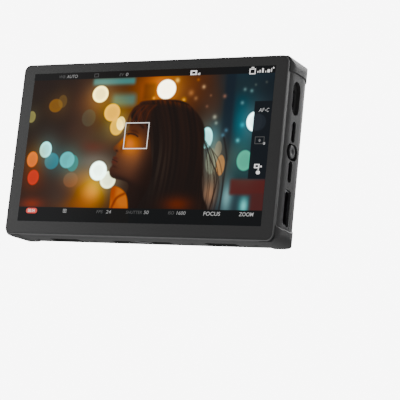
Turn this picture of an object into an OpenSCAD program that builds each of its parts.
// Camera-top field monitor: screen module, electronics, ports, joystick, fan and battery plate.
// Screen faces -Y, +Z is up, the part stands on z = 0. A depth counts from the front face.

/* [Body] */
// Width of the front frame
frame_w = 134; // [133:0.1:135]
// Height of the front frame
frame_h = 79; // [78.6:0.1:79.6]
// Depth from the front face to the back face
body_d = 20; // [20:0.1:20.6]
// Corner radius of the front frame
frame_r = 3.2; // [2.6:0.1:3.6]
// How far the sides swell past the frame
side_bulge = 0.6; // [0.4:0.05:0.7]
// Radius of the swelling and of the back edge
edge_r = 14; // [12:0.5:16]
// Angle over which the back edge curves
edge_a = 20; // [15:1:24]
// Small radius where the edge meets the back
edge_fillet = 1.2; // [0.8:0.1:1.6]
// Corner radius of the housing
housing_r = 4.5; // [4:0.1:5]
// Rise of the corner pads over the sides
pad_rise = 0.4; // [0.3:0.05:0.5]
// Length of each corner pad along an edge
pad_l = 7; // [6:0.1:8]
// Housing starts at this depth
band_d = 2.2; // [2:0.05:2.4]
// Light chamfer round the front frame
chamfer = 0.35; // [0.2:0.05:0.4]
// Wall at the sides
side_wall = 2.1; // [2:0.05:2.2]
// Wall at the back
back_wall = 2.6; // [2.4:0.05:2.7]
// Inner corner radius
cavity_r = 2.5; // [2:0.1:3]

/* [Screen] */
// Gap round the cover glass
glass_gap = 0.1; // [0.05:0.01:0.15]
// Lip of the frame round the glass
frame_lip = 0.6; // [0.5:0.05:0.7]
// How far the glass sits under the lip
glass_set = 0.1; // [0.08:0.01:0.14]
// Thickness of the cover glass
glass_t = 0.8; // [0.7:0.05:0.85]
// Thickness of the glue layers
glue_t = 0.2; // [0.15:0.01:0.25]
// Panel starts this far from the sides of the frame
panel_side = 4.5; // [4.3:0.1:5]
// Panel starts this far from the top and bottom of the frame
panel_end = 2.8; // [2.6:0.05:3.2]
// Room round the panel in the frame
panel_gap = 0.3; // [0.25:0.05:0.4]
// Thickness of the panel
panel_t = 1.1; // [1:0.05:1.15]
// Thickness of the light guide
guide_t = 1.7; // [1.6:0.05:1.75]
// Sheet of the panel tray
tray_t = 0.3; // [0.2:0.02:0.34]
// Length of the light bar
led_w = 110; // [90:1:118]

/* [Chassis] */
// Thickness of the chassis plate
chassis_t = 0.8; // [0.7:0.05:0.85]
// Height of the board posts
post_h = 0.8; // [0.75:0.05:0.85]
// Radius of the board posts
post_r = 2.2; // [1.8:0.1:2.4]
// Outer board posts from the inner side wall
post_side = 15.5; // [14:0.5:16]
// Board posts from the inner top and bottom walls
post_end = 8; // [7.8:0.1:8.4]
// Width of a screw lug
lug_w = 5; // [4.4:0.1:5.4]
// Height of a screw lug
lug_h = 4.5; // [4.2:0.1:4.8]
// Gap between the battery plate and the inner screw lugs
lug_gap = 0.85; // [0.5:0.05:1.2]
// Outer screws from the side of the frame
lug_side = 12; // [11.4:0.1:12.6]
// Housing screws and tripod thread lie this far behind the middle
thread_off = 0.4; // [0.2:0.05:0.6]
// Head radius of the housing screws
case_head_r = 1.9; // [1.6:0.05:2]

/* [Board] */
// Thickness of the mainboard
board_t = 1; // [0.9:0.05:1.05]
// Side of the processor
cpu_w = 17; // [14:0.5:19]
// Height of the processor
cpu_t = 1.6; // [1.4:0.05:1.8]
// Thickness of the thermal pad
pad_t = 0.8; // [0.6:0.05:1]
// Centre of the processor from the inner side wall
cpu_side = 23.5; // [23:0.1:24]
// Width of the heat sink
sink_w = 25.5; // [24:0.1:26]
// Height of the heat sink
sink_h = 34; // [32:0.5:35]
// Side of a foot of the heat sink
sink_foot = 5; // [4.6:0.1:5.2]
// Base of the heat sink
sink_base = 1.4; // [1.2:0.1:1.8]
// Number of heat sink fins
sink_fins = 9; // [6:1:10]
// Thickness of a fin
fin_t = 1; // [0.7:0.05:1.2]

/* [Fan] */
// Side of the square fan
fan_w = 32; // [31.6:0.1:32.4]
// Wall of the fan chamber at its thinnest
fan_wall = 1.2; // [1:0.05:1.4]
// Gap between the chamber and the blade tips
tip_gap = 0.6; // [0.5:0.05:1]
// Centre of the fan from the inner side wall
fan_side = 21; // [20.5:0.1:22]
// Radius of the rotor hub
hub_r = 8; // [7:0.1:9]
// Number of blades
blades = 11; // [7:1:13]
// Radius of the fan pin
fan_pin_r = 1; // [0.8:0.05:1.2]
// Running fit of the pins
pin_fit = 0.05; // [0.03:0.01:0.08]
// Radius of the air inlet
inlet_r = 11; // [9:0.1:12]

/* [Ports] */
// Depth of the ports and the joystick
port_d = 9.6; // [9.5:0.05:9.8]
// Depth of the control port
control_d = 9.2; // [9.1:0.05:9.3]
// Gap round a connector in its opening
port_gap = 0.15; // [0.1:0.01:0.2]
// Rib of the housing between the joystick and the ports beside it
port_rib = 0.63; // [0.55:0.01:0.7]
// Long side of the big shells
hdmi_w = 15; // [14.6:0.1:15.2]
// Short side of the big shells
hdmi_h = 5.6; // [5.4:0.05:5.6]
// Long side of the small shells
usb_w = 8.94; // [8.8:0.02:9]
// Short side of the small shells
usb_h = 3.26; // [3.2:0.02:3.3]
// Length of the big shells
hdmi_l = 11.5; // [11:0.1:12]
// Length of the small shells
usb_l = 7.3; // [7:0.1:7.6]
// Sheet of the big shells
shell_t = 0.5; // [0.4:0.05:0.6]
// Length of the recess round the control port
recess_l = 14.6; // [14:0.1:15]
// Width of the control and input recesses
recess_w = 7.2; // [7:0.05:7.4]
// Depth of the recess round the control port
recess_t = 1.6; // [1.4:0.05:1.7]
// Depth of the recess round the input port
input_recess_t = 1.2; // [1:0.05:1.3]

/* [Controls] */
// Radius of the joystick cap
cap_r = 2.85; // [2.7:0.05:2.9]
// Half height of the joystick base
joy_half = 3.8; // [3.7:0.05:3.9]
// Height of the joystick opening
joy_hole_h = 6.9; // [6.8:0.05:7]
// Length of the joystick opening
joy_hole_w = 10.6; // [10:0.1:10.8]
// Radius of the joystick stem
stem_r = 1; // [0.9:0.05:1.1]
// Radius of the gimbal pins
gimbal_pin_r = 0.35; // [0.3:0.01:0.38]
// Radius of the power button
button_r = 3; // [2.8:0.05:3.1]
// Radial fit of the power button
button_fit = 0.1; // [0.06:0.01:0.1]
// Radius of the icon on the power button
icon_r = 2.2; // [1.8:0.05:2.4]

/* [Back] */
// Number of grooves on each side of the bay
grooves = 17; // [13:2:17]
// First and last groove from the top and bottom
groove_end = 4.5; // [4.4:0.05:4.8]
// Half width of a groove
groove_r = 1.15; // [0.9:0.05:1.2]
// Depth of a groove
groove_t = 1.2; // [0.9:0.05:1.3]
// Grooves start this far beside the bay
groove_gap = 3.05; // [2.8:0.05:3.4]
// Grooves end this far from the sides
groove_edge = 3.4; // [3.3:0.05:3.8]
// Radius of the ball that cuts the corner scoops
scoop_r = 5.84; // [5.4:0.02:6]
// Depth of the corner scoops
scoop_t = 2; // [1.8:0.05:2.05]

/* [Battery plate] */
// Half width of the bay
bay_x = 19.75; // [19.6:0.05:19.9]
// Bottom of the bay above the base
bay_z = 9.2; // [9.1:0.05:9.3]
// Depth of the bay from the back
bay_t = 6; // [5.8:0.05:6.1]
// Wall of the battery plate
plate_wall = 1.4; // [1.2:0.05:1.5]
// Floor of the battery plate
plate_t = 2; // [1.9:0.05:2.1]
// How far the hooks reach in
hook_in = 1; // [0.8:0.05:1.1]
// Length of a hook
hook_l = 9; // [8:0.1:10]
// Contacts from the sides of the bay
contact_in = 2.15; // [2.05:0.05:2.25]
// Label from the sides of the bay
label_gap = 4.65; // [4:0.05:6]
// Height of the label
label_h = 40; // [30:1:44]
// Thickness of a contact
contact_t = 0.8; // [0.6:0.05:0.9]
// Width of the latch
latch_w = 7; // [6:0.1:7.6]
// Travel that the latch has room for
latch_travel = 1.3; // [1.1:0.05:1.4]

/* [Underside] */
// Radius of the tripod insert
insert_r = 4; // [3.8:0.05:4.2]
// Radius of the tripod bore
tripod_r = 2.6; // [2.5:0.05:2.65]
// Depth of the tripod bore
tripod_l = 5.9; // [5.6:0.05:6]
// Air windows lie this far inside the middle between two screws
window_off = 0.35; // [0:0.05:0.7]
// Length of an air window
window_w = 14.9; // [14:0.1:15.4]
// Depth span of an air window
window_d = 7.4; // [7:0.05:7.6]
// Depth of the shallow pockets beside the thread
pocket_t = 0.9; // [0.7:0.05:1]

/* [Hidden] */
$fn = 48;
cut = 1;
hair = 0.02;
joy_hole_off = 0.5;
mid_z = pad_rise + side_bulge + frame_h / 2;
housing_w = frame_w + 2 * side_bulge;
housing_h = frame_h + 2 * side_bulge;
wall_x = housing_w / 2;
base_z = mid_z - housing_h / 2;
roof_z = mid_z + housing_h / 2;
in_x = wall_x - side_wall;
in_bot = base_z + side_wall;
in_top = roof_z - side_wall;
d_glue = glass_set + glass_t;
d_panel = d_glue + glue_t;
d_guide = d_panel + panel_t;
d_tray = d_guide + guide_t;
d_chassis = d_tray + tray_t;
d_post = d_chassis + chassis_t;
d_board = d_post + post_h;
d_parts = d_board + board_t;
d_back = body_d - back_wall;
d_bay = body_d - bay_t;
d_plate = d_bay - plate_t;
glass_w = frame_w - 2 * (frame_lip + glass_gap);
glass_h = frame_h - 2 * (frame_lip + glass_gap);
panel_w = frame_w - 2 * panel_side;
panel_h = frame_h - 2 * panel_end;
open_w = panel_w + 2 * panel_gap;
open_h = panel_h + 2 * panel_gap;
thread_d = body_d / 2 + thread_off;
plate_bot = bay_z - plate_wall;
plate_x = bay_x + plate_wall;
lug_in = plate_x + lug_gap + lug_w / 2;
lug_out = frame_w / 2 - lug_side;
window_x = (lug_in + lug_out) / 2 - window_off;
groove_pitch = (housing_h - 2 * groove_end) / (grooves - 1);
groove_in = bay_x + groove_gap;
groove_out = wall_x - groove_edge;
contact_x = bay_x - contact_in;
board_x = in_x - 2.5;
post_x = in_x - post_side;
post_z = (in_top - in_bot) / 2 - post_end;
post_spots = [[-post_x, post_z], [-12, post_z], [post_x, post_z], [-post_x, -post_z], [0, -post_z],
    [post_x, -post_z]];
screw_rows = [2 - post_z, -9, post_z - 2];
skirt_x = in_x - 1.4;
fan_r = fan_w / 2 - fan_wall;
rotor_r = fan_r - tip_gap;
fan_x = fan_side - in_x;
fan_z = mid_z + 2.5;
d_fan = d_parts + 0.8;
d_lid = d_back - 3.8;
cpu_x = in_x - cpu_side;
sink_x = cpu_x - 0.75;
sink_z = mid_z + 0.5;
cpu_z = mid_z + 1.5;
d_sink = d_parts + cpu_t + pad_t;
joy_z = mid_z - 0.1;
usb_up_z = joy_z + joy_hole_h / 2 + port_rib + usb_w / 2;
usb_low_z = joy_z - joy_hole_h / 2 - port_rib - usb_w / 2;
hdmi_z = (in_bot + lug_h + usb_low_z - usb_w / 2 - port_gap) / 2 - 0.6;
d_wire = (d_parts + d_plate) / 2;
control_z = mid_z + 22.8;
button_z = mid_z + 23.9;
pivot_x = in_x - 3.1;
d_button = port_d;
latch_z = mid_z + 30.5;
latch_top = d_plate - 0.1;
boss_z = in_bot + 4.9;
boss_front = thread_d - insert_r - 0.2;
boss_back = d_back - 1.6;
plate_screw_x = groove_in + 1.1;
plate_screw_rows = [-5.5 * groove_pitch, 5.5 * groove_pitch];
in_mouth = wall_x - input_recess_t + 0.2;
out_mouth = wall_x - 0.5;
control_mouth = wall_x - recess_t - 0.1;

// Y of a depth from the front face.
function dy(d) = d - body_d / 2;

module block(x, d, z) {
    translate([x[0], dy(d[0]), z[0]])
        cube([x[1] - x[0], d[1] - d[0], z[1] - z[0]]);
}

module rod_x(x, d, z, r) {
    translate([x[0], dy(d), z]) rotate([0, 90, 0]) cylinder(h = x[1] - x[0], r = r);
}

module rod_y(x, d, z, r) {
    translate([x, dy(d[1]), z]) rotate([90, 0, 0]) cylinder(h = d[1] - d[0], r = r);
}

module rod_z(x, d, z, r) {
    translate([x, dy(d), z[0]]) cylinder(h = z[1] - z[0], r = r);
}

// Flat shape (depth, z) pushed along X.
module along_x(x) {
    translate([x[0], -body_d / 2, 0]) rotate([90, 0, 90]) linear_extrude(x[1] - x[0]) children();
}

// Flat shape (x, z) pushed along the depth.
module along_y(d) {
    translate([0, dy(d[1]), 0]) rotate([90, 0, 0]) linear_extrude(d[1] - d[0]) children();
}

// Flat shape (x, depth) pushed along Z.
module along_z(z) {
    translate([0, -body_d / 2, z[0]]) linear_extrude(z[1] - z[0]) children();
}

module rounded(w, h, r) {
    square([w - 2 * r, h], center = true);
    square([w, h - 2 * r], center = true);
    for (x = [-1, 1], y = [-1, 1]) {
        translate([x * (w / 2 - r), y * (h / 2 - r)]) circle(r = r);
    }
}

// Upright slot with round ends.
module stadium(w, h) {
    square([w, h - w], center = true);
    translate([0, h / 2 - w / 2]) circle(r = w / 2);
    translate([0, w / 2 - h / 2]) circle(r = w / 2);
}

module both_sides() {
    children();
    mirror([1, 0, 0]) children();
}

// Rounded outline at mid height.
module outline(w, h, r) {
    translate([0, mid_z]) rounded(w, h, r);
}

// Side profile (depth, half width) of the housing, widened by rise.
module swell(half) {
    run = sqrt(2 * edge_r * side_bulge - side_bulge * side_bulge);
    small = edge_r - edge_fillet;
    arc_c = body_d - edge_fillet - small * sin(edge_a);
    drop = edge_r - small * cos(edge_a);
    translate([0, drop - half]) square([body_d, 2 * (half - drop)]);
    translate([band_d + run, -half]) square([arc_c - band_d - run, 2 * half]);
    for (s = [0, 1]) mirror([0, s]) {
        intersection() {
            translate([0, half - drop - cut]) square([band_d + run, drop + cut]);
            translate([band_d + run, half - edge_r]) circle(r = edge_r);
        }
        intersection() {
            translate([arc_c, half - drop - cut]) square([edge_r * sin(edge_a), drop + cut]);
            translate([arc_c, half - edge_r]) circle(r = edge_r);
        }
        translate([body_d - edge_fillet, half - drop]) circle(r = edge_fillet);
    }
}

module shell_form(rise, r, d0) {
    intersection() {
        along_x([-wall_x - rise, wall_x + rise])
            translate([0, mid_z]) swell(housing_h / 2 + rise);
        along_z([base_z - rise, roof_z + rise])
            rotate(90) mirror([0, 1]) swell(wall_x + rise);
        along_y([d0, body_d]) outline(housing_w + 2 * rise, housing_h + 2 * rise, r);
    }
}

module pad_mask() {
    for (a = [0, 1], b = [0, 1]) {
        translate([0, mid_z]) mirror([a, 0]) mirror([0, b])
            translate([wall_x + pad_rise, housing_h / 2 + pad_rise])
            polygon([[2, 2], [2 - pad_l, 2], [-3 - pad_l, -3], [-3, -3 - pad_l], [2, 2 - pad_l]]);
    }
}

module housing_outside() {
    shell_form(0, housing_r, band_d);
    difference() {
        intersection() {
            shell_form(pad_rise, housing_r + pad_rise, band_d - 0.7);
            along_y([0, body_d]) pad_mask();
        }
        along_y([0, band_d]) outline(frame_w + 0.2, frame_h + 0.2, frame_r + 0.1);
    }
}

// Slab with a chamfer round its front edge.
module bevel_slab(w, h, r, c) {
    translate([-w / 2 + r, 0, mid_z]) along_x([0, w - 2 * r])
        polygon([[0, c - h / 2], [c, -h / 2], [c, h / 2], [0, h / 2 - c]]);
    translate([0, 0, mid_z - h / 2 + r]) along_z([0, h - 2 * r])
        polygon([[c - w / 2, 0], [-w / 2, c], [w / 2, c], [w / 2 - c, 0]]);
    for (x = [-1, 1], z = [-1, 1]) {
        translate([x * (w / 2 - r), dy(c), mid_z + z * (h / 2 - r)])
            rotate([90, 0, 0]) cylinder(h = c, r1 = r, r2 = r - c);
    }
}

module case_screw_at(x, side) {
    translate([x, dy(thread_d), side < 0 ? base_z : roof_z]) mirror([0, 0, side < 0 ? 0 : 1])
        children();
}

module case_screw_spots() {
    for (x = [-lug_out, -lug_in, lug_in, lug_out], side = [-1, 1]) {
        case_screw_at(x, side) children();
    }
}

module groove_field() {
    both_sides() intersection() {
        along_y([body_d - groove_t - cut, body_d + cut]) for (i = [0 : grooves - 1]) {
            k = i - (grooves - 1) / 2;
            rank = (grooves - 1) / 2 - abs(k);
            end = rank < 0.5 ? groove_out - 9.3 : rank < 1.5 ? groove_out - 5.5 : groove_out;
            translate([(groove_in + end) / 2, mid_z + k * groove_pitch]) rotate(90)
                stadium(2 * groove_r, end - groove_in);
        }
        for (i = [0 : grooves - 1]) {
            rod_x([groove_in - cut, groove_out + cut], body_d + groove_r + 0.1 - groove_t,
                mid_z + (i - (grooves - 1) / 2) * groove_pitch, groove_r + 0.1);
        }
    }
}

module side_slot(x, d, z, w, h) {
    along_x(x) translate([d, z]) stadium(w, h);
}

module rear_housing() {
    color("#3a3b3d")
    difference() {
        union() {
            difference() {
                housing_outside();
                along_y([0, d_back]) outline(2 * in_x, in_top - in_bot, cavity_r);
            }
            intersection() {
                block([-insert_r - 5, insert_r + 5], [boss_front, boss_back], [in_bot - cut, boss_z]);
                along_y([0, d_back]) outline(2 * in_x + cut, in_top - in_bot + cut, cavity_r);
            }
        }
        groove_field();
        both_sides() for (s = [-1, 1]) {
            translate([wall_x - 5.6, dy(body_d + scoop_r - scoop_t), mid_z + s * (housing_h / 2 - 4.9)])
                sphere(r = scoop_r);
        }
        block([-bay_x, bay_x], [d_back - cut, body_d + cut], [bay_z, roof_z + 2]);
        block([-bay_x, bay_x], [d_bay, body_d + cut], [in_top - cut, roof_z + 2]);
        case_screw_spots() {
            translate([0, 0, -cut]) cylinder(h = side_wall + 2 * cut, r = 1.1);
            cylinder(h = 0.95, r1 = case_head_r + 0.05, r2 = 1.1);
            translate([0, 0, -cut]) cylinder(h = cut, r = case_head_r + 0.05);
        }
        plate_screw_spots() translate([0, 0, -cut]) cylinder(h = 1.9 + cut, r = 0.82);
        rod_z(0, thread_d, [base_z - cut, base_z + 6.5], insert_r + hair);
        both_sides() {
            block([insert_r + 1, insert_r + 10.6], [thread_d - 2.5, thread_d + 2.5],
                [base_z - cut, base_z + pocket_t]);
            along_z([base_z - cut, in_bot + cut]) translate([window_x, thread_d])
                rounded(window_w, window_d, 1);
        }
        side_slot([in_x - cut, wall_x + cut], port_d, usb_up_z, usb_h + 2 * port_gap, usb_w + 2 * port_gap);
        side_slot([in_x - cut, wall_x + cut], port_d, usb_low_z, usb_h + 2 * port_gap, usb_w + 2 * port_gap);
        side_slot([in_x - cut, wall_x + cut], control_d, control_z, usb_h + 2 * port_gap,
            usb_w + 2 * port_gap);
        side_slot([wall_x - recess_t, wall_x + cut], control_d, control_z, recess_w, recess_l);
        along_x([in_x - cut, wall_x + cut]) translate([port_d + joy_hole_off, joy_z]) rotate(90)
            stadium(joy_hole_h, joy_hole_w);
        along_x([in_x - cut, wall_x + cut]) translate([port_d, hdmi_z])
            rounded(hdmi_h + 2 * port_gap, hdmi_w + 2 * port_gap, 0.95);
        along_x([-wall_x - cut, cut - in_x]) translate([port_d, hdmi_z])
            rounded(hdmi_h + 2 * port_gap, hdmi_w + 2 * port_gap, 0.95);
        along_x([-wall_x - cut, input_recess_t - wall_x]) translate([port_d, hdmi_z])
            rounded(recess_w, hdmi_w + 1.4, 1.5);
        for (z = [-8.2, 3, 14], d = [-2.9, 0, 2.9]) {
            side_slot([-wall_x - cut, cut - in_x], thread_d - 0.2 + d, mid_z + z, 1.3, 9.6);
        }
        rod_x([-wall_x - cut, cut - in_x], d_button, button_z, button_r + button_fit);
        along_x([-wall_x - cut, 0.3 - wall_x]) translate([thread_d, roof_z - pad_l - 1.5])
            square([body_d - band_d - 4, 0.5], center = true);
    }
}

module front_frame() {
    color("#4b4c4e")
    difference() {
        union() {
            bevel_slab(frame_w, frame_h, frame_r, chamfer);
            along_y([chamfer, band_d]) outline(frame_w, frame_h, frame_r);
            along_y([band_d, d_chassis]) outline(2 * in_x - 0.2, in_top - in_bot - 0.2, cavity_r - 0.1);
        }
        along_y([-cut, d_panel]) outline(glass_w + 2 * glass_gap, glass_h + 2 * glass_gap, 2.6);
        along_y([0, d_chassis + cut]) outline(open_w, open_h, 0.8);
        for (x = [-1, 1], z = screw_rows) {
            rod_y(x * skirt_x, [d_chassis - 1.8, d_chassis + cut], mid_z + z, 0.82);
        }
    }
}

module cover_glass() {
    color("#101113")
    along_y([glass_set, d_glue]) outline(glass_w, glass_h, 2.5);
}

module glass_glue() {
    color("#1b1b1c")
    along_y([d_glue, d_panel]) difference() {
        outline(glass_w - 0.2, glass_h - 0.2, 2.4);
        outline(open_w + 0.4, open_h + 0.4, 1);
    }
}

module optical_glue() {
    color("#c9d3d6")
    along_y([d_glue, d_panel]) outline(panel_w - 0.4, panel_h - 0.4, 0.3);
}

module lcd_panel() {
    color("#15181c")
    along_y([d_panel, d_guide]) outline(panel_w, panel_h, 0.4);
}

module light_guide() {
    color("#e8eef0")
    block([0.4 - panel_w / 2, panel_w / 2 - 0.4], [d_guide, d_tray],
        [mid_z - panel_h / 2 + 1.7, mid_z + panel_h / 2 - 0.4]);
}

module led_bar() {
    color("#f2e9b8")
    block([-led_w / 2, led_w / 2], [d_guide + 0.2, d_tray], [mid_z - panel_h / 2 + tray_t,
        mid_z - panel_h / 2 + 1.3]);
}

module lcd_tray() {
    color("#b9bcc0")
    difference() {
        along_y([d_guide, d_chassis]) outline(panel_w, panel_h, 0.4);
        along_y([d_guide - cut, d_tray]) outline(panel_w - 2 * tray_t, panel_h - 2 * tray_t, 0.1);
    }
}

module lcd_flex() {
    edge = mid_z + panel_h / 2;
    color("#c08a3c")
    union() {
        block([5, 20], [d_guide - 0.6, d_post + 0.1], [edge, edge + 0.1]);
        block([5, 20], [d_post, d_post + 0.1], [edge - 5.8, edge + 0.1]);
        block([6, 19], [d_post + 0.1, d_board], [edge - 5.8, edge - 3.8]);
    }
}

module chassis() {
    color("#9a9da1")
    difference() {
        union() {
            along_y([d_chassis, d_post]) outline(2 * in_x - 0.4, in_top - in_bot - 1.4, cavity_r - 0.2);
            for (p = post_spots) rod_y(p[0], [d_post, d_board], mid_z + p[1], post_r);
            for (x = [-lug_out, -lug_in, lug_in, lug_out]) {
                block([x - lug_w / 2, x + lug_w / 2], [d_post - 0.4, thread_d + 2.8],
                    [in_bot, in_bot + lug_h]);
                block([x - lug_w / 2, x + lug_w / 2], [d_post - 0.4, thread_d + 2.8],
                    [in_top - lug_h, in_top]);
            }
        }
        for (p = post_spots) rod_y(p[0], [d_chassis + 0.2, d_board + cut], mid_z + p[1], 0.82);
        for (x = [-1, 1], z = screw_rows) {
            rod_y(x * skirt_x, [d_chassis - cut, d_post + cut], mid_z + z, 0.9);
        }
        case_screw_spots() translate([0, 0, side_wall - cut]) cylinder(h = 4.2 + cut, r = 1.02);
        block([4.5, 20.5], [d_chassis - cut, d_post + cut], [mid_z + panel_h / 2 - 0.4, in_top]);
        for (x = [-34, 34], z = [-16, 16]) {
            rod_y(x, [d_chassis - cut, d_post + cut], mid_z + z, 5);
        }
    }
}

module frame_screws() {
    color("#8b8d90")
    for (x = [-1, 1], z = screw_rows) difference() {
        union() {
            rod_y(x * skirt_x, [d_chassis - 1.5, d_post], mid_z + z, 0.8);
            rod_y(x * skirt_x, [d_post, d_board], mid_z + z, 1.25);
        }
        translate([x * skirt_x, dy(d_board + cut), mid_z + z]) rotate([90, 0, 0])
            cylinder(h = 0.45 + cut, r = 0.55, $fn = 6);
    }
}

module housing_screws() {
    color("#7d7f83")
    case_screw_spots() difference() {
        union() {
            translate([0, 0, 0.05]) cylinder(h = 0.9, r1 = case_head_r, r2 = 1);
            translate([0, 0, 0.9]) cylinder(h = side_wall + 2.9, r = 1);
        }
        translate([0, 0, -cut]) cylinder(h = 0.6 + cut, r = 0.75, $fn = 6);
    }
}

module mainboard() {
    color("#1e5a3c")
    difference() {
        along_y([d_board, d_parts]) outline(2 * board_x, in_top - in_bot - 11, 1.5);
        for (p = post_spots) rod_y(p[0], [d_board - cut, d_parts + cut], mid_z + p[1], 0.9);
        block([pivot_x - 4.4, board_x + cut], [d_board - cut, d_parts + cut],
            [joy_z - joy_half - 0.3, joy_z + joy_half + 0.3]);
        sink_screw_spots() cylinder(h = 30, r = 0.82);
    }
}

module board_screws() {
    color("#9c9ea1")
    for (p = post_spots) difference() {
        union() {
            rod_y(p[0], [d_chassis + 0.3, d_parts], mid_z + p[1], 0.8);
            rod_y(p[0], [d_parts, d_parts + 1], mid_z + p[1], 1.8);
        }
        translate([p[0], dy(d_parts + 1 + cut), mid_z + p[1]]) rotate([90, 0, 0])
            cylinder(h = 0.6 + cut, r = 0.75, $fn = 6);
    }
}

module board_chips() {
    near_fan = [[22.5, 2, 5, 7, 2.2], [2.5, post_z - 5, 9, 5, 1.6], [0.5, 6 - post_z, 10, 7, 1.2]];
    near_sink = [[-22, 6, 12, 12, 1.2], [-22, 20, 6, 6, 2.4], [-2, 6 - post_z, 9, 9, 1.4]];
    middle = [[12, -12, 9, 11, 1], [-14, -10, 8, 8, 1], [-12, 14, 14, 9, 1.4], [8, 20, 4, 6, 1.8],
        [-20, 7 - post_z, 7, 7, 3], [0, 8 - post_z, 6, 5, 1.2]];
    color("#26282b")
    for (c = concat([for (a = near_fan) a + [fan_x, 0, 0, 0, 0]],
        [for (a = near_sink) a + [cpu_x, 0, 0, 0, 0]], middle)) {
        block([c[0] - c[2] / 2, c[0] + c[2] / 2], [d_parts, d_parts + c[4]],
            [mid_z + c[1] - c[3] / 2, mid_z + c[1] + c[3] / 2]);
    }
}

module processor() {
    color("#303338")
    block([cpu_x - cpu_w / 2, cpu_x + cpu_w / 2], [d_parts, d_parts + cpu_t],
        [cpu_z - cpu_w / 2, cpu_z + cpu_w / 2]);
}

module thermal_pad() {
    color("#8fa7c4")
    block([cpu_x - cpu_w / 2 + 0.5, cpu_x + cpu_w / 2 - 0.5], [d_parts + cpu_t, d_sink],
        [cpu_z - cpu_w / 2 + 0.5, cpu_z + cpu_w / 2 - 0.5]);
}

// The screws of the heat sink, with the screw axis turned to the front.
module sink_screw_spots() {
    for (s = [-1, 1]) {
        translate([sink_x + s * (sink_w - sink_foot) / 2, dy(d_sink + sink_base),
            sink_z - s * (sink_h + sink_foot) / 2]) rotate([90, 0, 0]) children();
    }
}

module heat_sink() {
    left = sink_x - sink_w / 2;
    low = sink_z - sink_h / 2;
    step = (sink_w - fin_t) / (sink_fins - 1);
    color("#2b2d30")
    difference() {
        union() {
            block([left, left + sink_w], [d_sink, d_sink + sink_base], [low, low + sink_h]);
            for (i = [0 : sink_fins - 1]) {
                block([left + i * step, left + i * step + fin_t],
                    [d_sink + sink_base - 0.2, d_back - 0.8], [low, low + sink_h]);
            }
            block([left, left + sink_foot], [d_parts, d_sink + sink_base],
                [low + sink_h, low + sink_h + sink_foot]);
            block([left + sink_w - sink_foot, left + sink_w], [d_parts, d_sink + sink_base],
                [low - sink_foot, low]);
        }
        sink_screw_spots() translate([0, 0, -cut]) cylinder(h = 30, r = 0.9);
    }
}

module sink_screws() {
    color("#9c9ea1")
    sink_screw_spots() difference() {
        union() {
            cylinder(h = cpu_t + pad_t + sink_base + 0.8, r = 0.8);
            translate([0, 0, -1]) cylinder(h = 1, r = 1.6);
        }
        translate([0, 0, -1 - cut]) cylinder(h = 0.6 + cut, r = 0.7, $fn = 6);
    }
}

module fan_corner_spots() {
    for (x = [-1, 1], z = [-1, 1]) {
        translate([fan_x + x * (fan_w / 2 - 1.1), 0, fan_z + z * (fan_w / 2 - 1.1)]) children();
    }
}

module fan_housing() {
    color("#222427")
    difference() {
        block([fan_x - fan_w / 2, fan_x + fan_w / 2], [d_parts, d_lid],
            [fan_z - fan_w / 2, fan_z + fan_w / 2]);
        difference() {
            union() {
                rod_y(fan_x, [d_fan, d_lid + cut], fan_z, fan_r);
                block([fan_x - fan_w / 2 - cut, fan_x], [d_fan, d_lid + cut],
                    [fan_z - fan_w / 2 + 2.2, fan_z + fan_w / 2 - 2.2]);
            }
            rod_y(fan_x, [d_fan - cut, d_lid - 0.8], fan_z, fan_pin_r);
        }
        fan_corner_spots() rod_y(0, [d_lid - 2.5, d_lid + cut], 0, 0.52);
    }
}

module fan_rotor() {
    color("#2e3136")
    difference() {
        union() {
            rod_y(fan_x, [d_fan + 0.4, d_lid - 0.4], fan_z, hub_r);
            for (i = [0 : blades - 1]) {
                translate([fan_x, 0, fan_z]) rotate([0, i * 360 / blades, 0])
                    block([hub_r - 0.3, rotor_r - 0.05], [d_fan + 0.6, d_lid - 0.6], [-0.25, 0.25]);
            }
        }
        rod_y(fan_x, [d_fan + 0.4 - cut, d_lid - 0.7], fan_z, fan_pin_r + pin_fit);
    }
}

module fan_cover() {
    color("#b4b7bb")
    difference() {
        block([fan_x - fan_w / 2, fan_x + fan_w / 2], [d_lid, d_lid + 0.8],
            [fan_z - fan_w / 2, fan_z + fan_w / 2]);
        rod_y(fan_x, [d_lid - cut, d_lid + 2], fan_z, inlet_r);
        fan_corner_spots() rod_y(0, [d_lid - cut, d_lid + 2], 0, 0.55);
    }
}

module fan_screws() {
    color("#9c9ea1")
    fan_corner_spots() union() {
        rod_y(0, [d_lid - 2.2, d_lid + 0.8], 0, 0.5);
        rod_y(0, [d_lid + 0.8, d_lid + 1.4], 0, 0.95);
    }
}

module dust_filter() {
    color("#1c1d1f")
    block([-in_x, 0.5 - in_x], [d_board, d_back - 2.8], [mid_z - 14.5, mid_z + 20]);
}

module intake_filters() {
    color("#1c1d1f")
    both_sides() block([window_x - 8.6, window_x + 8.6], [thread_d - 4.8, thread_d + 4.8],
        [in_bot, in_bot + 0.5]);
}

// Hollow big shell with its mouth at mouth, pointing to +X.
module hdmi_shell(mouth) {
    w = hdmi_h - 2 * shell_t;
    l = hdmi_w - 2 * shell_t;
    difference() {
        along_x([mouth - hdmi_l, mouth]) translate([port_d, hdmi_z]) rounded(hdmi_h, hdmi_w, 0.8);
        along_x([mouth - hdmi_l + shell_t, mouth + cut]) translate([port_d - w / 2, hdmi_z - l / 2])
            polygon([[0, 1.6], [1.6, 0], [w, 0], [w, l], [1.6, l], [0, l - 1.6]]);
    }
}

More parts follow.
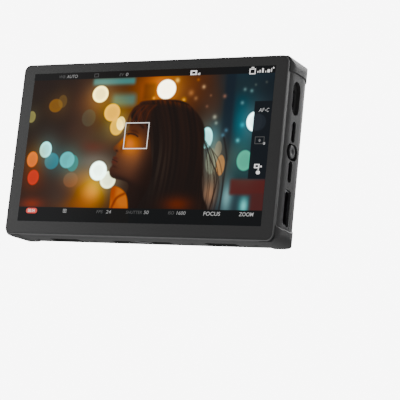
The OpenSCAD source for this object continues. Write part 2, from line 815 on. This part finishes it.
module hdmi_core(mouth) {
    w = hdmi_h - 2 * shell_t;
    block([mouth - hdmi_l + shell_t, mouth - hdmi_l + 3.5], [port_d - w / 2 + 0.1, port_d + w / 2], [hdmi_z - 5, hdmi_z + 5]);
    block([mouth - hdmi_l + 3.4, mouth - 1], [port_d - 0.3, port_d + 0.9], [hdmi_z - 5, hdmi_z + 5]);
}

module usb_shell(mouth, d, z) {
    along_x([mouth - usb_l, mouth]) translate([d, z]) difference() {
        stadium(usb_h, usb_w);
        stadium(usb_h - 0.5, usb_w - 0.5);
    }
}

module usb_core(mouth, d, z) {
    along_x([mouth - usb_l, mouth - usb_l + 1.5]) translate([d, z]) stadium(usb_h - 0.5, usb_w - 0.5);
    block([mouth - usb_l + 1.4, mouth - 0.8], [d - 0.35, d + 0.35], [z - 3.35, z + 3.35]);
    block([mouth - usb_l - 0.6, mouth - usb_l], [d_parts, d + usb_h / 2],
        [z - usb_w / 2 + 0.2, z + usb_w / 2 - 0.2]);
    block([mouth - usb_l - 0.1, mouth - usb_l + 4.7], [d_parts, d - usb_h / 2], [z - 2.6, z + 2.6]);
}

module hdmi_input_shell() {
    color("#c7c9cc") mirror([1, 0, 0]) hdmi_shell(in_mouth);
}

module hdmi_input_core() {
    color("#1a1b1d") mirror([1, 0, 0]) hdmi_core(in_mouth);
}

module hdmi_output_shell() {
    color("#c7c9cc") hdmi_shell(out_mouth);
}

module hdmi_output_core() {
    color("#1a1b1d") hdmi_core(out_mouth);
}

module usb_upper_shell() {
    color("#c7c9cc") usb_shell(out_mouth, port_d, usb_up_z);
}

module usb_upper_core() {
    color("#1a1b1d") usb_core(out_mouth, port_d, usb_up_z);
}

module usb_lower_shell() {
    color("#c7c9cc") usb_shell(out_mouth, port_d, usb_low_z);
}

module usb_lower_core() {
    color("#1a1b1d") usb_core(out_mouth, port_d, usb_low_z);
}

module control_shell() {
    color("#c7c9cc") usb_shell(control_mouth, control_d, control_z);
}

module control_core() {
    color("#1a1b1d") usb_core(control_mouth, control_d, control_z);
}

module joystick_board() {
    color("#1e5a3c")
    block([pivot_x - 4.4, pivot_x - 3.4], [d_post + 0.2, port_d + 4.6],
        [joy_z - joy_half - 0.1, joy_z + joy_half + 0.1]);
}

module joystick_base() {
    color("#222427")
    difference() {
        block([pivot_x - 3.4, pivot_x + 1], [port_d - 4.5, port_d + 4.5],
            [joy_z - joy_half, joy_z + joy_half]);
        rod_x([pivot_x - 2.1, pivot_x + 1 + cut], port_d, joy_z, 3.05);
        rod_z(pivot_x, port_d, [joy_z - joy_half + 0.25, joy_z + joy_half - 0.25],
            gimbal_pin_r + pin_fit);
    }
}

module joystick_ring() {
    color("#8b8d90")
    difference() {
        union() {
            rod_x([pivot_x - 0.5, pivot_x + 0.5], port_d, joy_z, 2.75);
            rod_z(pivot_x, port_d, [joy_z - joy_half + 0.35, joy_z + joy_half - 0.35], gimbal_pin_r);
        }
        rod_x([pivot_x - cut, pivot_x + cut], port_d, joy_z, 2.05);
        rod_y(pivot_x, [port_d - 2.6, port_d + 2.6], joy_z, gimbal_pin_r + pin_fit);
    }
}

module joystick_stem() {
    color("#303338")
    union() {
        rod_x([pivot_x - 0.6, pivot_x + 0.7], port_d, joy_z, 1.6);
        rod_x([pivot_x, in_x + 0.7], port_d, joy_z, stem_r);
        rod_y(pivot_x, [port_d - 2.5, port_d + 2.5], joy_z, gimbal_pin_r);
    }
}

module joystick_cap() {
    color("#57595c")
    difference() {
        union() {
            rod_x([in_x - 0.3, wall_x], port_d, joy_z, cap_r);
            translate([wall_x, dy(port_d), joy_z]) rotate([0, 90, 0])
                cylinder(h = 0.3, r1 = cap_r, r2 = cap_r - 0.3);
        }
        rod_x([in_x - 0.3 - cut, in_x + 1.3], port_d, joy_z, stem_r + pin_fit);
        translate([wall_x + 3.6, dy(port_d), joy_z]) sphere(r = 3.6);
    }
}

module power_button() {
    color("#4b4c4e")
    union() {
        rod_x([-wall_x - 0.2, 0.4 - in_x], d_button, button_z, button_r);
        rod_x([0.3 - in_x, 1.1 - in_x], d_button, button_z, button_r + 0.7);
    }
}

module power_icon() {
    color("#38c8b4")
    along_x([-wall_x - 0.28, -wall_x - 0.2]) translate([d_button, button_z]) union() {
        difference() {
            circle(r = icon_r);
            circle(r = icon_r - 0.5);
            translate([-0.8, 0]) square([1.6, 4]);
        }
        translate([-0.25, 0.3]) square([0.5, icon_r - 0.1]);
    }
}

module power_plunger() {
    color("#e2e2de")
    rod_x([1.1 - in_x, 3.9 - in_x], d_button, button_z, 1);
}

module power_switch() {
    color("#222427")
    difference() {
        block([2.6 - in_x, 6.6 - in_x], [d_parts, d_button + 2.8], [button_z - 2.8, button_z + 2.8]);
        rod_x([2.6 - in_x - cut, 4.8 - in_x], d_button, button_z, 1 + pin_fit);
    }
}

// The screws of the battery plate, with the screw axis turned to the back.
module plate_screw_spots() {
    for (x = [-plate_screw_x, plate_screw_x], z = plate_screw_rows) {
        translate([x, dy(d_back), mid_z + z]) rotate([-90, 0, 0]) children();
    }
}

module battery_plate() {
    color("#2b2c2e")
    difference() {
        union() {
            difference() {
                block([-plate_x, plate_x], [d_plate, d_back], [plate_bot, in_top]);
                block([-bay_x, bay_x], [d_bay, d_back + cut], [bay_z, in_top + cut]);
            }
            both_sides() {
                for (z = [3.5, 29.5]) {
                    block([bay_x - hook_in, bay_x + 0.5], [d_back - 1.6, d_back - 0.4],
                        [mid_z + z - hook_l / 2, mid_z + z + hook_l / 2]);
                }
                for (z = plate_screw_rows) {
                    block([plate_x - 0.2, plate_screw_x + 1.7], [d_back - 1.6, d_back],
                        [mid_z + z - 2, mid_z + z + 2]);
                }
            }
        }
        both_sides() {
            block([bay_x - 3.4, bay_x], [d_bay - 1, d_bay + cut], [bay_z, in_top + cut]);
            block([contact_x - contact_t / 2 - 0.1, contact_x + contact_t / 2 + 0.1],
                [d_back - 2.1, d_back + cut], [plate_bot - cut, bay_z + cut]);
        }
        block([-latch_w / 2 - 0.1, latch_w / 2 + 0.1], [d_plate - cut, d_bay + cut],
            [latch_z - 1.8, latch_z + 1.8]);
        plate_screw_spots() translate([0, 0, -5]) cylinder(h = 6, r = 0.9);
    }
}

module plate_screws() {
    color("#9c9ea1")
    plate_screw_spots() difference() {
        union() {
            translate([0, 0, -1.6]) cylinder(h = 3.3, r = 0.8);
            translate([0, 0, -2.6]) cylinder(h = 1, r = 1.6);
        }
        translate([0, 0, -2.6 - cut]) cylinder(h = 0.6 + cut, r = 0.7, $fn = 6);
    }
}

module label_plate() {
    color("#161718")
    along_y([d_bay, d_bay + 0.3]) translate([0, bay_z + label_h / 2 + 0.4])
        rounded(2 * (bay_x - label_gap), label_h, 1);
}

module contact_block() {
    color("#1a1b1d")
    difference() {
        union() {
            both_sides() block([contact_x - 4, contact_x + 2], [d_back - 2.4, d_back],
                [plate_bot - 3, plate_bot]);
            block([4 - contact_x, contact_x - 4], [d_back - 1.2, d_back], [plate_bot - 3, plate_bot]);
        }
        both_sides() block([contact_x - contact_t / 2, contact_x + contact_t / 2],
            [d_back - 2, d_back - 0.2], [plate_bot - 2.3, plate_bot + cut]);
    }
}

module battery_contacts() {
    color("#d9b45a")
    both_sides() along_x([contact_x - contact_t / 2, contact_x + contact_t / 2]) union() {
        translate([d_back - 2, plate_bot - 2.3]) square([1.8, 9.5]);
        translate([d_back - 1.1, plate_bot + 7.2]) circle(r = 0.9);
    }
}

module battery_wires() {
    color("#a33a32")
    both_sides() union() {
        rod_y(contact_x - 1.6, [d_wire, d_back - 2.4], plate_bot - 1.5, 0.6);
        translate([contact_x - 1.6, dy(d_wire), plate_bot - 1.5]) sphere(r = 0.6);
        rod_z(contact_x - 1.6, d_wire, [plate_bot - 1.5, plate_bot + 2.7], 0.6);
        translate([contact_x - 1.6, dy(d_wire), plate_bot + 2.7]) sphere(r = 0.6);
        rod_y(contact_x - 1.6, [d_parts, d_wire], plate_bot + 2.7, 0.6);
    }
}

module battery_latch() {
    color("#3a3b3d")
    union() {
        along_x([-latch_w / 2, latch_w / 2]) polygon([[latch_top - 0.2, latch_z - 1.7],
            [d_bay + 1.4, latch_z - 1.7], [d_bay + 1.4, latch_z + 0.3], [d_bay + 0.1, latch_z + 1.7],
            [latch_top - 0.2, latch_z + 1.7]]);
        block([-latch_w / 2 - 1, latch_w / 2 + 1], [latch_top - 0.8, latch_top],
            [latch_z - 2.7, latch_z + 2.7]);
    }
}

module latch_spring() {
    color("#b9bcc0")
    union() {
        block([-2, 2], [latch_top - 2.7, latch_top - 2.5], [latch_z - 2, latch_z + 2]);
        block([-2, 2], [latch_top - 2.7, latch_top - 0.8], [latch_z - 2, latch_z - 1.8]);
        block([-2, 2], [latch_top - 1, latch_top - 0.8], [latch_z - 2, latch_z + 2]);
    }
}

module latch_bracket() {
    arm = latch_w / 2 + 1.6;
    color("#8b8d90")
    union() {
        block([-arm - 1, arm + 1], [latch_top - 3.05, latch_top - 2.7], [latch_z - 3, latch_z + 3]);
        both_sides() block([arm, arm + 1], [latch_top - 2.8, d_plate], [latch_z - 3, latch_z + 3]);
    }
}

module tripod_insert() {
    color("#c9a34e")
    difference() {
        rod_z(0, thread_d, [base_z + 0.2, base_z + 6.5], insert_r);
        rod_z(0, thread_d, [base_z + 0.2 - cut, base_z + 0.2 + tripod_l], tripod_r);
        translate([0, dy(thread_d), base_z + 0.2]) cylinder(h = 0.4, r1 = tripod_r + 0.4, r2 = tripod_r);
    }
}

rear_housing();
front_frame();
cover_glass();
glass_glue();
optical_glue();
lcd_panel();
light_guide();
led_bar();
lcd_tray();
lcd_flex();
chassis();
frame_screws();
housing_screws();
mainboard();
board_screws();
board_chips();
processor();
thermal_pad();
heat_sink();
sink_screws();
fan_housing();
fan_rotor();
fan_cover();
fan_screws();
dust_filter();
intake_filters();
hdmi_input_shell();
hdmi_input_core();
hdmi_output_shell();
hdmi_output_core();
usb_upper_shell();
usb_upper_core();
usb_lower_shell();
usb_lower_core();
control_shell();
control_core();
joystick_board();
joystick_base();
joystick_ring();
joystick_stem();
joystick_cap();
power_button();
power_icon();
power_plunger();
power_switch();
battery_plate();
plate_screws();
label_plate();
contact_block();
battery_contacts();
battery_wires();
battery_latch();
latch_spring();
latch_bracket();
tripod_insert();
